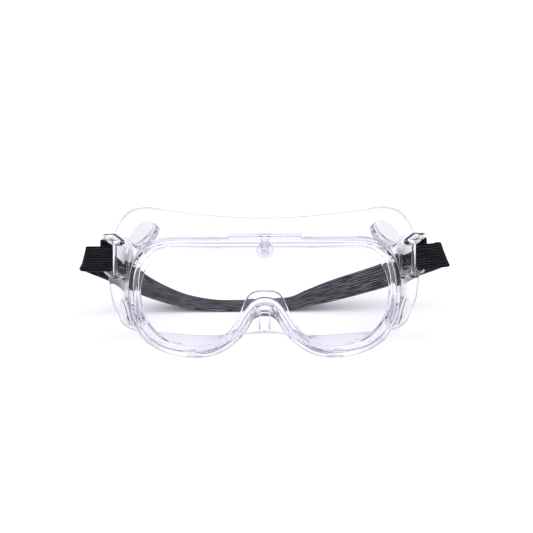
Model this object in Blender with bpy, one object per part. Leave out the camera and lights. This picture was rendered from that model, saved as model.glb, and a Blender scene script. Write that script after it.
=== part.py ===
"""Clear splash goggles with a flat lens, four indirect vents and a woven headband.

Metres, +Z up. The lens looks along -Y, +X is to the right of someone facing the lens, and the
goggles stand on their lower rim with the headband lying behind them. Depths are measured back
from the front face of the rim; the origin is under the middle of the whole object.
"""

import math

import bmesh
import bpy
from mathutils import Matrix, Vector

# Driving dimensions
RIM_HALF_WIDTH = 0.079
RIM_HEIGHT = 0.0745
RIM_DEPTH = 0.007
RIM_STEP = 0.001  # how far the rim stands proud of the wall behind it
LIP_WIDTH = 0.0073  # what the rim covers of the lens at its sides, top and bottom
LIP_THICKNESS = 0.0018
WALL = 0.0018
FLANGE_HALF_WIDTH = 0.093
FLANGE_HEIGHT = 0.0797
NOSE_DEPTH = 0.0228
TEMPLE_DEPTH = 0.056
FLANGE_FROM = 0.72  # share of the depth at which the wall turns out into the face flange
WALL_FLARE = 0.45  # share of the widening that the wall has reached there
SWELL = 0.0042  # how far the wall swells out under the outer side of each lobe
SWELL_STATION = 10
SWELL_SPREAD = 1.5
SWELL_EARLY = 0.5  # the swelling is greatest just behind the rim
FOOT_CUT = 0.0003  # how far the underside is cut flat where the goggles stand
GAP = 0.0003  # clearance between neighbouring pieces
WELD_IN = 0.0009  # how far shapes moulded in one are sunk into each other
CUT_PAST = 0.004  # how far a cutter runs on past what it cuts

LENS_THICKNESS = 0.002
LENS_INSET = 0.0029  # from the outside of the rim to the edge of the lens
BACK_LIP_INSET = 0.0062
CATCH_LENGTH = 0.0084  # the slots low in each lobe that hold the lens's tongues
CATCH_HEIGHT = 0.0016
CATCH_X = RIM_HALF_WIDTH * 0.5633
LEDGE_LENGTH = 0.042
LEDGE_HEIGHT = 0.0009

STUD_HEAD_RADIUS = 0.0049
STUD_FRONT = 0.0019  # how far the head stands out in front of the rim
STUD_RADIUS = 0.0016
STUD_BARB_RADIUS = 0.0027
BOSS_DROP = 0.0063  # from the top of the rim to the middle of the boss
BOSS_RADIUS = 0.0054
BOSS_STEP = 0.0001  # how far its face lies behind the front of the rim

VENT_RADIUS = 0.0085
VENT_PAD_RADIUS = VENT_RADIUS + 0.0006
VENT_HOLE_RADIUS = 0.0062
VENT_BORE_RADIUS = 0.0045
VENT_PAD_OUT = 0.0004
VENT_PAD_IN = 0.0036
VENT_FLANGE = 0.0012
VENT_CAP_LIFT = 0.0009
VENT_CAP_THICKNESS = 0.0016

STRAP_WIDTH = 0.016
STRAP_THICKNESS = 0.0013
STRAP_Z = 0.0447  # middle of the strap where it leaves the lugs
STRAP_FRONT_DEPTH = TEMPLE_DEPTH - 0.0107
STRAP_REAR_DEPTH = TEMPLE_DEPTH + 0.022
BAND_FROM = STRAP_FRONT_DEPTH + STRAP_THICKNESS + 0.0015  # depth at which the band leaves the crease
SWING_Z = STRAP_Z + STRAP_WIDTH / 2 + 0.0027  # the band bends down about a line along its top edge

# The lugs start inside the wall, where it has flared to, and their bars stand clear of the flange.
LUG_ROOT = RIM_HALF_WIDTH + WALL_FLARE * (FLANGE_HALF_WIDTH - RIM_HALF_WIDTH) - 0.0049
CREASE_X = FLANGE_HALF_WIDTH + 0.0142
CREASE_LEAN = math.radians(15)
END_RISE = {"right": 0.11, "left": 0.0}  # how the ends rise on their way out to the creases
BAR_RADIUS = 0.0012
FRONT_BAR = (FLANGE_HALF_WIDTH - 0.0046, TEMPLE_DEPTH - 0.015)
REAR_BAR = (FLANGE_HALF_WIDTH + 0.0015, TEMPLE_DEPTH - 0.0055)
ARM_THICKNESS = 0.0018
LUG_UNDER = 0.0009  # room between the webbing and the lower arm
LUG_OVER = 0.0022

MID_DEPTH = (STRAP_REAR_DEPTH + STRAP_WIDTH / 2 - STUD_FRONT) / 2
TURN = 2 * math.pi
STEPS = 2

# Half of the goggles, from the top centre round one lobe to the nose. Each row is one station:
# the rim's outside (x, z), the aperture (x, z) and the flange's free edge (x, depth, z), each a
# share from 0 to 1 of its own size above.
STATIONS = (
    (0.000, 1.000, 0.000, 1.000, 0.000, 0.217, 0.965),
    (0.342, 1.000, 0.378, 1.000, 0.298, 0.262, 0.975),
    (0.671, 0.997, 0.700, 0.998, 0.575, 0.398, 0.992),
    (0.797, 0.976, 0.805, 0.979, 0.685, 0.488, 1.000),
    (0.886, 0.926, 0.889, 0.921, 0.773, 0.578, 0.991),
    (0.966, 0.812, 0.962, 0.801, 0.876, 0.729, 0.922),
    (1.000, 0.644, 1.000, 0.628, 0.956, 0.880, 0.747),
    (0.997, 0.456, 0.994, 0.441, 0.994, 1.000, 0.519),
    (0.970, 0.322, 0.957, 0.291, 1.000, 1.000, 0.316),
    (0.899, 0.174, 0.882, 0.156, 0.961, 0.849, 0.114),
    (0.785, 0.070, 0.777, 0.053, 0.873, 0.608, 0.013),
    (0.639, 0.016, 0.672, 0.013, 0.685, 0.428, 0.000),
    (0.513, 0.000, 0.567, 0.000, 0.497, 0.307, 0.000),
    (0.392, 0.016, 0.462, 0.015, 0.343, 0.187, 0.011),
    (0.285, 0.070, 0.364, 0.074, 0.243, 0.111, 0.033),
    (0.173, 0.174, 0.275, 0.184, 0.155, 0.051, 0.053),
    (0.101, 0.295, 0.210, 0.329, 0.095, 0.021, 0.066),
    (0.061, 0.370, 0.148, 0.507, 0.055, 0.006, 0.072),
    (0.033, 0.400, 0.087, 0.574, 0.028, 0.000, 0.076),
    (0.000, 0.408, 0.000, 0.586, 0.000, 0.000, 0.076),
)

# Where each vent sits: its station, counted from the top centre, and its share of the depth.
UPPER_VENT = (4, 0.34)
LOWER_VENT = (8.5, 0.5)

# Half of the headband behind the goggles, from the crease to the middle: shares of the crease's
# distance from the centre, of the way back and of the height, and how far it leans back. The
# band is soft, and lies flatter on the left than on the right.
BAND_LEFT = (
    (1.000, 0.00, 1.00, 0),
    (0.970, 0.065, 0.95, -12),
    (0.935, 0.19, 0.88, -14),
    (0.885, 0.40, 0.77, 0),
    (0.815, 0.63, 0.62, 20),
    (0.740, 0.80, 0.47, 40),
    (0.670, 0.90, 0.335, 58),
    (0.560, 0.98, 0.18, 74),
    (0.420, 1.00, 0.06, 85),
    (0.240, 1.00, 0.00, 90),
    (0.000, 1.00, 0.00, 90),
)
BAND_RIGHT = (
    (1.000, 0.00, 1.048, 0),
    (0.970, 0.065, 1.00, -12),
    (0.935, 0.19, 0.93, -14),
    (0.885, 0.40, 0.825, 0),
    (0.815, 0.63, 0.69, 18),
    (0.740, 0.80, 0.565, 34),
    (0.670, 0.90, 0.47, 44),
    (0.560, 0.97, 0.36, 51),
    (0.420, 1.00, 0.245, 58),
    (0.330, 1.00, 0.175, 66),
    (0.240, 1.00, 0.105, 77),
    (0.150, 1.00, 0.035, 86),
    (0.000, 1.00, 0.00, 90),
)


def clear_scene():
    for obj in list(bpy.data.objects):
        bpy.data.objects.remove(obj, do_unlink=True)


def material(name, colour, roughness, metallic=0.0, alpha=1.0):
    made = bpy.data.materials.new(name)
    made.use_nodes = True
    shader = made.node_tree.nodes["Principled BSDF"]
    shader.inputs["Base Color"].default_value = (*colour, 1.0)
    shader.inputs["Roughness"].default_value = roughness
    shader.inputs["Metallic"].default_value = metallic
    shader.inputs["Alpha"].default_value = alpha
    made.diffuse_color = (*colour, alpha)
    return made


def place(x, depth, z):
    """A point from its distance right of centre, behind the rim's front face and above the floor."""
    return Vector((x, depth - MID_DEPTH, z))


def between(before, a, b, after, t):
    """Catmull-Rom between a and b, for numbers or vectors."""
    return 0.5 * (
        2 * a
        + (b - before) * t
        + (2 * before - 5 * a + 4 * b - after) * t * t
        + (3 * a - before - 3 * b + after) * t * t * t
    )


def closed_curve(rows, steps):
    """Rows of numbers round a loop, with steps of them to each of the given ones."""
    made = []
    for i in range(len(rows)):
        four = [rows[(i + k) % len(rows)] for k in (-1, 0, 1, 2)]
        for step in range(steps):
            made.append([between(*column, step / steps) for column in zip(*four)])
    return made


def open_curve(rows, steps):
    """Rows of numbers or vectors along an open curve, its two end rows included."""
    made = []
    for i in range(len(rows) - 1):
        four = [rows[min(max(i + k, 0), len(rows) - 1)] for k in (-1, 0, 1, 2)]
        for step in range(steps):
            made.append([between(*column, step / steps) for column in zip(*four)])
    made.append(list(rows[-1]))
    return made


def all_stations():
    """Every station round the whole loop, the left half mirrored from the right."""
    left = [(-a, b, -c, d, -e, f, g) for a, b, c, d, e, f, g in STATIONS[-2:0:-1]]
    return closed_curve(list(STATIONS) + left, STEPS)


def guide(row):
    """A station's rim point, aperture point and flange edge as (x, depth, z) vectors."""
    rim_x, rim_z, open_x, open_z, edge_x, edge_depth, edge_z = row
    rim = Vector((rim_x * RIM_HALF_WIDTH, 0, max(rim_z, 0) * RIM_HEIGHT - FOOT_CUT))
    aperture = Vector(
        (
            open_x * (RIM_HALF_WIDTH - LIP_WIDTH),
            0,
            LIP_WIDTH + open_z * (RIM_HEIGHT - 2 * LIP_WIDTH),
        )
    )
    edge = Vector(
        (
            edge_x * FLANGE_HALF_WIDTH,
            NOSE_DEPTH + edge_depth * (TEMPLE_DEPTH - NOSE_DEPTH),
            max(edge_z, 0) * FLANGE_HEIGHT - FOOT_CUT,
        )
    )
    return rim, aperture, edge


GUIDES = [guide(row) for row in all_stations()]
AROUND = len(GUIDES)


def inset(i, distance, depth):
    """A point in from the rim's outside towards the aperture, at this depth."""
    rim, aperture, _ = GUIDES[i % AROUND]
    inward = (aperture - rim).normalized()
    point = rim + inward * distance
    return Vector((point.x, depth, point.z))


def lip_edge(i, depth):
    _, aperture, _ = GUIDES[i % AROUND]
    return Vector((aperture.x, depth, aperture.z))


def swelling(i, share):
    """How far the wall swells out between the rim and the flange, under the outer side of each lobe."""
    station = min(i % AROUND, AROUND - i % AROUND) / STEPS
    near = math.exp(-(((station - SWELL_STATION) / SWELL_SPREAD) ** 2))
    return SWELL * near * math.sin(math.pi * share**SWELL_EARLY)


def wall_point(i, share):
    """The outside of the wall and flange, from the back of the rim at 0 to the free edge at 1."""
    _, _, edge = GUIDES[i % AROUND]
    start = inset(i, RIM_STEP, RIM_DEPTH)
    if share < FLANGE_FROM:
        widened = WALL_FLARE * share / FLANGE_FROM
    else:
        widened = WALL_FLARE + (1 - WALL_FLARE) * (share - FLANGE_FROM) / (1 - FLANGE_FROM)
    swell = swelling(i, share)
    x = start.x + (edge.x - start.x) * widened + math.copysign(0.8 * swell, start.x)
    z = start.z + (edge.z - start.z) * widened - 0.7 * swell
    return Vector((x, start.y + (edge.y - start.y) * share, max(z, -FOOT_CUT)))


def wall_normal(i, share):
    """Straight out of the wall."""
    step = 0.04
    along = wall_point(i + 1, share) - wall_point(i - 1, share)
    back = wall_point(i, min(share + step, 1)) - wall_point(i, max(share - step, 0))
    return along.cross(back).normalized()


def wall_inside(i, share, thickness):
    return wall_point(i, share) - wall_normal(i, share) * thickness


def moved(points):
    return [place(p.x, p.y, p.z) for p in points]


def new_object(name, bm, finish, smooth=True):
    bmesh.ops.recalc_face_normals(bm, faces=bm.faces)
    if bm.calc_volume(signed=True) < 0:
        bmesh.ops.reverse_faces(bm, faces=bm.faces)
    bmesh.ops.triangulate(bm, faces=bm.faces)
    mesh = bpy.data.meshes.new(name)
    bm.to_mesh(mesh)
    bm.free()
    if smooth:
        mesh.shade_smooth()
        mesh.set_sharp_from_angle(angle=math.radians(35))
    made = bpy.data.objects.new(name, mesh)
    bpy.context.scene.collection.objects.link(made)
    if finish:
        made.data.materials.append(finish)
    return made


def helper(made):
    made.hide_render = True
    made.display_type = "WIRE"
    return made


def combine(target, other, operation):
    """A Boolean. The manifold solver keeps the frame closed through its long row of steps."""
    step = target.modifiers.new(f"{operation.lower()} {other.name}", "BOOLEAN")
    step.operation = operation
    step.solver = "MANIFOLD"
    step.object = other


def loft(rings, around_closed, along_closed):
    """Joins rings of points by quads; the ends are capped where the rings don't close."""
    bm = bmesh.new()
    rows = [[bm.verts.new(p) for p in ring] for ring in rings]
    count = len(rows[0])
    last = len(rows) if along_closed else len(rows) - 1
    for r in range(last):
        near, far = rows[r], rows[(r + 1) % len(rows)]
        for i in range(count if around_closed else count - 1):
            j = (i + 1) % count
            bm.faces.new((near[i], near[j], far[j], far[i]))
    if not along_closed:
        bm.faces.new(rows[0])
        bm.faces.new(rows[-1])
    return bm


def turned(profile, sides):
    """A solid of revolution about local Z from (radius, height) points; radius 0 closes it."""
    bm = bmesh.new()
    rows = []
    for radius, height in profile:
        if radius == 0:
            rows.append([bm.verts.new((0, 0, height))])
            continue
        rows.append(
            [
                bm.verts.new(
                    (
                        radius * math.cos(TURN * k / sides),
                        radius * math.sin(TURN * k / sides),
                        height,
                    )
                )
                for k in range(sides)
            ]
        )
    pairs = list(zip(rows, rows[1:]))
    if len(rows[0]) > 1:
        pairs.append((rows[-1], rows[0]))
    for near, far in pairs:
        for k in range(sides):
            n = (k + 1) % sides
            corners = [near[k % len(near)], near[n % len(near)], far[n % len(far)], far[k % len(far)]]
            bm.faces.new(list(dict.fromkeys(corners)))
    return bm


def box(name, low, high):
    bm = bmesh.new()
    bmesh.ops.create_cube(bm, size=1.0)
    size = [b - a for a, b in zip(low, high)]
    middle = [(a + b) / 2 for a, b in zip(low, high)]
    bmesh.ops.scale(bm, vec=size, verts=bm.verts)
    bmesh.ops.translate(bm, vec=place(*middle), verts=bm.verts)
    return helper(new_object(name, bm, None, smooth=False))


def rod(name, radius, start, end, sides=16):
    """A plain round bar between two places, for cutting or adding."""
    line = end - start
    bm = turned([(0, 0), (radius, 0), (radius, line.length), (0, line.length)], sides)
    turn = line.to_track_quat("Z", "Y").to_matrix().to_4x4()
    bmesh.ops.transform(bm, matrix=Matrix.Translation(start) @ turn, verts=bm.verts)
    return helper(new_object(name, bm, None))


def frame_rings():
    """The frame's section at each station, from the front round the outside and back inside."""
    lens_front = LIP_THICKNESS
    lens_back = LIP_THICKNESS + LENS_THICKNESS + 2 * GAP
    groove = LENS_INSET - GAP
    bevel = 0.0009
    shares = (0, 0.25, 0.5, FLANGE_FROM, 0.86, 1)
    sections = []
    for i in range(AROUND):
        section = [
            inset(i, bevel, 0),
            inset(i, 0, bevel),
            inset(i, 0, RIM_DEPTH - bevel),
        ]
        section += [wall_point(i, s) for s in shares]
        section += [wall_inside(i, s, WALL) for s in reversed(shares)]
        section += [
            inset(i, BACK_LIP_INSET, RIM_DEPTH),
            inset(i, BACK_LIP_INSET, lens_back),
            inset(i, groove, lens_back),
            inset(i, groove, lens_front),
            lip_edge(i, lens_front),
            lip_edge(i, bevel / 2),
            inset(i, (GUIDES[i][1] - GUIDES[i][0]).length - bevel, 0),
        ]
        sections.append(moved(section))
    return sections


def frame_shell(finish):
    sections = frame_rings()
    count = len(sections[0])
    bm = loft([[s[k] for s in sections] for k in range(count)], True, True)
    return new_object("frame", bm, finish)


def cavity():
    """The space inside the wall, out to the middle of its thickness, which trims the lugs."""
    rings = []
    for share in (0, 0.25, 0.5, FLANGE_FROM, 0.86, 1):
        rings.append([wall_inside(i, share, WALL / 2) for i in range(AROUND)])
    behind = TEMPLE_DEPTH + 0.01
    rings.append([Vector((p.x, behind, p.z)) for p in rings[-1]])
    flat = [Vector((p.x, RIM_DEPTH, p.z)) for p in rings[0]]
    bm = loft([moved(ring) for ring in [flat] + rings[1:]], True, False)
    return helper(new_object("cavity", bm, None))


def arm(name, side, low, high):
    """A flat arm from the wall out round both bars."""
    front_x, front_depth = FRONT_BAR
    rear_x, rear_depth = REAR_BAR
    cover = BAR_RADIUS + 0.0006
    corners = (
        (LUG_ROOT, front_depth - cover),
        (front_x + cover * 0.6, front_depth - cover),
        (rear_x + cover, rear_depth - cover),
        (rear_x + cover, rear_depth + cover * 0.5),
        (rear_x, rear_depth + cover),
        (LUG_ROOT, rear_depth + cover),
    )
    rings = [[place(side * x, depth, z) for x, depth in corners] for z in (low, high)]
    return helper(new_object(name, loft(rings, True, False), None, smooth=False))


def lug(side, word, hollow):
    """One strap lug: two arms and the two upright bars between them, trimmed to the wall."""
    low = STRAP_Z - STRAP_WIDTH / 2 - LUG_UNDER
    high = STRAP_Z + STRAP_WIDTH / 2 + LUG_OVER
    bottom = arm(f"lug_{word}", side, low - ARM_THICKNESS, low)
    top = arm(f"lug_top_{word}", side, high, high + 2 * ARM_THICKNESS)
    combine(bottom, top, "UNION")
    for which, (x, depth) in (("front", FRONT_BAR), ("rear", REAR_BAR)):
        start = place(side * x, depth, low - ARM_THICKNESS / 2)
        end = place(side * x, depth, high + ARM_THICKNESS)
        combine(bottom, rod(f"bar_{which}_{word}", BAR_RADIUS, start, end), "UNION")
    combine(bottom, hollow, "DIFFERENCE")
    return bottom


def vent_frames():
    """(name, matrix) of each vent: its centre on the wall's outside, with Z straight out."""
    found = []
    for height, (station, share) in (("upper", UPPER_VENT), ("lower", LOWER_VENT)):
        i = round(station * STEPS)
        centre = wall_point(i, share)
        out = wall_normal(i, share)
        for word, side in (("right", 1), ("left", -1)):
            at = place(side * centre.x, centre.y, centre.z)
            axis = Vector((side * out.x, out.y, out.z))
            turn = axis.to_track_quat("Z", "Y").to_matrix().to_4x4()
            found.append((f"{height}_{word}", Matrix.Translation(at) @ turn))
    return found


def build_frame(finish, vents):
    frame = frame_shell(finish)
    hollow = cavity()
    for word, side in (("right", 1), ("left", -1)):
        combine(frame, lug(side, word, hollow), "UNION")
    for name, at in vents:
        inner = at @ Vector((0, 0, -VENT_PAD_IN))
        outer = at @ Vector((0, 0, VENT_PAD_OUT))
        combine(frame, rod(f"pad_{name}", VENT_PAD_RADIUS, inner, outer, 32), "UNION")
    ledge = box(
        "ledge",
        (-LEDGE_LENGTH / 2, RIM_DEPTH * 0.3, RIM_HEIGHT - WELD_IN),
        (LEDGE_LENGTH / 2, RIM_DEPTH * 1.1, RIM_HEIGHT + LEDGE_HEIGHT),
    )
    combine(frame, ledge, "UNION")
    boss_z = RIM_HEIGHT - BOSS_DROP
    boss_front = place(0, BOSS_STEP, boss_z)
    boss = rod("boss", BOSS_RADIUS, boss_front, place(0, LIP_THICKNESS, boss_z), 32)
    combine(frame, boss, "UNION")
    for name, at in vents:
        inner = at @ Vector((0, 0, -VENT_PAD_IN - CUT_PAST))
        outer = at @ Vector((0, 0, VENT_PAD_OUT + CUT_PAST))
        combine(frame, rod(f"hole_{name}", VENT_HOLE_RADIUS, inner, outer, 32), "DIFFERENCE")
    behind = place(0, RIM_DEPTH + CUT_PAST, boss_z)
    stud_hole = rod("stud_hole", STUD_RADIUS + GAP, place(0, -CUT_PAST, boss_z), behind, 16)
    combine(frame, stud_hole, "DIFFERENCE")
    barb_from = place(0, LIP_THICKNESS + 2 * GAP, boss_z)
    barb_room = rod("barb_room", STUD_BARB_RADIUS + 3 * GAP, barb_from, behind, 24)
    combine(frame, barb_room, "DIFFERENCE")
    for word, side in (("right", 1), ("left", -1)):
        middle = side * CATCH_X
        slot = box(
            f"catch_{word}",
            (middle - CATCH_LENGTH / 2, -0.001, catch_z() - CATCH_HEIGHT / 2),
            (middle + CATCH_LENGTH / 2, LIP_THICKNESS + GAP, catch_z() + CATCH_HEIGHT / 2),
        )
        combine(frame, slot, "DIFFERENCE")
    reach = 2 * FLANGE_HALF_WIDTH
    under = box("under_floor", (-reach, -reach, -0.01), (reach, reach, 0))
    combine(frame, under, "DIFFERENCE")
    return frame


def catch_z():
    """Height of the catches: just inside the lens's edge at the bottom of the lobes."""
    return LENS_INSET + CATCH_HEIGHT / 2 + 2 * GAP


def build_lens(finish):
    front = LIP_THICKNESS + GAP
    back = front + LENS_THICKNESS
    rings = [moved([inset(i, LENS_INSET, depth) for i in range(AROUND)]) for depth in (front, back)]
    lens = new_object("lens", loft(rings, True, False), finish)
    for word, side in (("right", 1), ("left", -1)):
        middle = side * CATCH_X
        tongue = box(
            f"tongue_{word}",
            (middle - CATCH_LENGTH / 2 + 2 * GAP, 2 * GAP, catch_z() - CATCH_HEIGHT / 2 + GAP),
            (middle + CATCH_LENGTH / 2 - 2 * GAP, front + WELD_IN, catch_z() + CATCH_HEIGHT / 2 - GAP),
        )
        combine(lens, tongue, "UNION")
    z = RIM_HEIGHT - BOSS_DROP
    hole = rod("lens_hole", STUD_RADIUS + GAP, place(0, 0, z), place(0, back + CUT_PAST, z), 16)
    combine(lens, hole, "DIFFERENCE")
    return lens


def build_stud(finish):
    """The snap stud that pins the top of the lens to the boss on the rim."""
    behind = LIP_THICKNESS + LENS_THICKNESS + 3 * GAP
    profile = (
        (0, 0.0001 - STUD_FRONT),
        (0.0012, 0.0001 - STUD_FRONT),
        (0.0012, 0.0005 - STUD_FRONT),
        (0.0024, 0.0005 - STUD_FRONT),
        (0.0026, -STUD_FRONT),
        (STUD_HEAD_RADIUS - 0.0005, -STUD_FRONT),
        (STUD_HEAD_RADIUS, 0.0005 - STUD_FRONT),
        (STUD_HEAD_RADIUS, -GAP),
        (STUD_RADIUS, -GAP),
        (STUD_RADIUS, behind),
        (STUD_BARB_RADIUS, behind),
        (STUD_RADIUS, behind + 0.0012),
        (0, behind + 0.0012),
    )
    bm = turned(profile, 24)
    turn = Matrix.Rotation(-math.pi / 2, 4, "X")
    bmesh.ops.transform(bm, matrix=turn, verts=bm.verts)
    stud = new_object("lens_stud", bm, finish)
    stud.location = place(0, 0, RIM_HEIGHT - BOSS_DROP)
    return stud


def vent_housing_mesh():
    seat = VENT_PAD_OUT + GAP
    snap = -VENT_PAD_IN - GAP
    collar = VENT_HOLE_RADIUS - GAP
    profile = (
        (VENT_BORE_RADIUS, seat + VENT_FLANGE),
        (VENT_RADIUS - 0.0006, seat + VENT_FLANGE),
        (VENT_RADIUS, seat + VENT_FLANGE - 0.0005),
        (VENT_RADIUS, seat),
        (collar, seat),
        (collar, snap),
        (collar + 0.0009, snap),
        (collar, snap - 0.0011),
        (VENT_BORE_RADIUS, snap - 0.0011),
    )
    return turned(profile, 24)


def vent_cap_mesh():
    under = VENT_PAD_OUT + GAP + VENT_FLANGE + VENT_CAP_LIFT
    top = under + VENT_CAP_THICKNESS
    plug = VENT_BORE_RADIUS - GAP
    profile = (
        (0, top),
        (VENT_RADIUS * 0.55, top - 0.0002),
        (VENT_RADIUS * 0.9, top - 0.0006),
        (VENT_RADIUS, under + 0.0004),
        (VENT_RADIUS - 0.0004, under),
        (plug, under),
        (plug, -VENT_PAD_IN),
        (plug - 0.0011, -VENT_PAD_IN),
        (plug - 0.0011, under),
        (0, under),
    )
    return turned(profile, 24)


def build_vents(vents, finish):
    for name, at in vents:
        housing = new_object(f"vent_housing_{name}", vent_housing_mesh(), finish)
        housing.matrix_world = at
        cap = new_object(f"vent_cap_{name}", vent_cap_mesh(), finish)
        cap.matrix_world = at
        for number in range(2):
            cut_vent_slot(cap, name, number, at)


def cut_vent_slot(cap, name, number, at):
    """A slot across the cap's plug, through which the air turns into the bore."""
    bm = bmesh.new()
    bmesh.ops.create_cube(bm, size=1.0)
    under = VENT_PAD_OUT + GAP + VENT_FLANGE + VENT_CAP_LIFT
    low = -VENT_PAD_IN + 0.0012
    bmesh.ops.scale(bm, vec=(0.003, 2 * VENT_RADIUS, under - low), verts=bm.verts)
    bmesh.ops.translate(bm, vec=(0, 0, (under + low) / 2 - 0.00005), verts=bm.verts)
    turn = Matrix.Rotation(number * math.pi / 2, 4, "Z")
    cutter = helper(new_object(f"slot_{name}_{number}", bm, None, smooth=False))
    cutter.matrix_world = at @ turn
    combine(cap, cutter, "DIFFERENCE")


def ribbon(name, rows, finish):
    """Flat webbing through (centre, half width vector, thickness direction) rows."""
    rings = []
    for centre, half, through in rows:
        lift = through * STRAP_THICKNESS / 2
        rings.append([centre - half - lift, centre + half - lift, centre + half + lift, centre - half + lift])
    return new_object(name, loft(rings, True, False), finish)


def end_route():
    """The sewn end in plan, from the crease in behind the front bar and round the rear one."""
    middle_x, middle_depth = REAR_BAR
    front_x = FRONT_BAR[0]
    front = STRAP_FRONT_DEPTH
    tail = front + STRAP_THICKNESS + GAP
    radius = BAR_RADIUS + GAP + STRAP_THICKNESS / 2 + 0.0001
    points = [
        (CREASE_X, front),
        (CREASE_X - 0.0045, front),
        (front_x + 0.0075, front),
        (front_x + 0.0032, front + 0.0002),
        (front_x + 0.0021, front + 0.0017),
        (front_x + 0.0032, front + 0.0042),
    ]
    for degrees in range(190, -60, -25):
        angle = math.radians(degrees)
        points.append((middle_x + radius * math.cos(angle), middle_depth + radius * math.sin(angle)))
    points.append((middle_x + 0.0026, tail + 0.0008))
    points.append((middle_x + 0.0042, tail))
    points.append((middle_x + 0.0066, tail))
    return points


def build_strap_end(side, word, finish):
    plan = open_curve(end_route(), 3)
    rows = []
    for k, (x, depth) in enumerate(plan):
        x0, depth0 = plan[max(k - 1, 0)]
        x1, depth1 = plan[min(k + 1, len(plan) - 1)]
        along = Vector((side * (x1 - x0), depth1 - depth0, 0)).normalized()
        half = Vector((0, 0, STRAP_WIDTH / 2))
        if k == 0:
            half.x = -side * math.tan(CREASE_LEAN) * STRAP_WIDTH / 2
        z = STRAP_Z + END_RISE[word] * max(x - FRONT_BAR[0], 0)
        rows.append((place(side * x, depth, z), half, along.cross(Vector((0, 0, 1)))))
    return ribbon(f"strap_end_{word}", rows, finish)


def build_band(finish):
    """The headband from crease to crease, lying back on the floor; its origin is on its joint."""
    pivot = place(0, BAND_FROM, SWING_Z)
    lowest = STRAP_THICKNESS / 2
    given = []
    for side, half in ((1, BAND_RIGHT[:-1]), (-1, BAND_LEFT[::-1])):
        for share, back, height, lean in half:
            depth = BAND_FROM + back * (STRAP_REAR_DEPTH - BAND_FROM)
            z = lowest + height * (STRAP_Z - lowest)
            given.append((side * share * CREASE_X, depth, z, math.radians(lean)))
    route = open_curve(given, 4)
    rows = []
    for point in route:
        point[2] = max(point[2], lowest + abs(math.cos(point[3])) * STRAP_WIDTH / 2)
    for k, (x, depth, z, lean) in enumerate(route):
        x0, depth0, z0, _ = route[max(k - 1, 0)]
        x1, depth1, z1, _ = route[min(k + 1, len(route) - 1)]
        along = Vector((x1 - x0, depth1 - depth0, z1 - z0)).normalized()
        up = Vector((0, math.sin(lean), math.cos(lean)))
        across = (up - along * up.dot(along)).normalized()
        half = across * STRAP_WIDTH / 2
        through = along.cross(across)
        if k in (0, len(route) - 1):
            side = 1 if x > 0 else -1
            half = Vector((-side * math.tan(CREASE_LEAN), 0, 1)) * STRAP_WIDTH / 2
            through = Vector((0, 1, 0)) * (1 if through.y > 0 else -1)
        rows.append((place(x, depth, z) - pivot, half, through))
    band = ribbon("strap_band", rows, finish)
    band.location = pivot
    return band


def main():
    clear_scene()
    clear_pvc = material("soft_clear_pvc", (0.90, 0.89, 0.94), 0.12, alpha=0.35)
    polycarbonate = material("clear_polycarbonate", (0.93, 0.94, 0.97), 0.04, alpha=0.2)
    white_plastic = material("white_polyethylene", (0.80, 0.80, 0.82), 0.45)
    webbing = material("black_elastic_webbing", (0.018, 0.017, 0.020), 0.85)
    vents = vent_frames()
    build_frame(clear_pvc, vents)
    build_lens(polycarbonate)
    build_stud(polycarbonate)
    build_vents(vents, white_plastic)
    for word, side in (("right", 1), ("left", -1)):
        build_strap_end(side, word, webbing)
    build_band(webbing)


main()
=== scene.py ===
"""Clear splash goggles on a white table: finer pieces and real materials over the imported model.

Metres, +Z up. Depths are measured back from the front face of the rim, as in the solid model.
"""

import math

import bmesh
import bpy
from mathutils import Matrix, Vector


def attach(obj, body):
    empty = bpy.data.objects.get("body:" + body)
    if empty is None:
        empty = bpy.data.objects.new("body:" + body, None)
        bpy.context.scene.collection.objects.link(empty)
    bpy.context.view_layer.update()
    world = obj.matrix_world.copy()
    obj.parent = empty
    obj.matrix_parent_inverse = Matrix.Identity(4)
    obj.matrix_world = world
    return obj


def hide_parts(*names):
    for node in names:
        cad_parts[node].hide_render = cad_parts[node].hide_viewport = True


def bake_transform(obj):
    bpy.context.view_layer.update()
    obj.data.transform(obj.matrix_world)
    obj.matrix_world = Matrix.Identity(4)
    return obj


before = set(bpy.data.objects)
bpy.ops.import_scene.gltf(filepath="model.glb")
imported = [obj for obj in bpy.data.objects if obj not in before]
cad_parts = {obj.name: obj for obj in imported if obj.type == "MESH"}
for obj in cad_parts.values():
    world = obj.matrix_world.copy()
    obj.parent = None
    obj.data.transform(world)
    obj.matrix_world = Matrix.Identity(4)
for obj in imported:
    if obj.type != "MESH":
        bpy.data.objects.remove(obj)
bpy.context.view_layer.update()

MM = 0.001
TURN = 2 * math.pi
MID_DEPTH = 42.05 * MM  # from the front of the rim to the middle of the whole
STEPS = 6  # rows of the mesh from one station to the next
REACH = 200 * MM  # past every piece
GAP = 0.3 * MM

# The rim, the wall and the flange
RIM_HALF_WIDTH = 79 * MM
RIM_HEIGHT = 74.5 * MM
RIM_DEPTH = 7 * MM
RIM_STEP = 1 * MM
LIP_WIDTH = 7.3 * MM
LIP_THICKNESS = 1.8 * MM
BACK_LIP_INSET = 6.2 * MM
WALL = 1.8 * MM
FLANGE_HALF_WIDTH = 93 * MM
FLANGE_HEIGHT = 79.7 * MM
NOSE_DEPTH = 22.8 * MM
TEMPLE_DEPTH = 56 * MM
FLANGE_FROM = 0.72  # share of the depth where the wall turns out into the flange
WALL_FLARE = 0.45  # share of the way out that the wall has flared by there
BEND_SOFTNESS = 0.14  # share of the depth over which that turn is rounded
FOOT_CUT = 0.3 * MM  # cut off flat under the goggles, where they stand
SWELL = 4.2 * MM
SWELL_STATION = 10
SWELL_SPREAD = 1.5
SWELL_EARLY = 0.5

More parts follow.
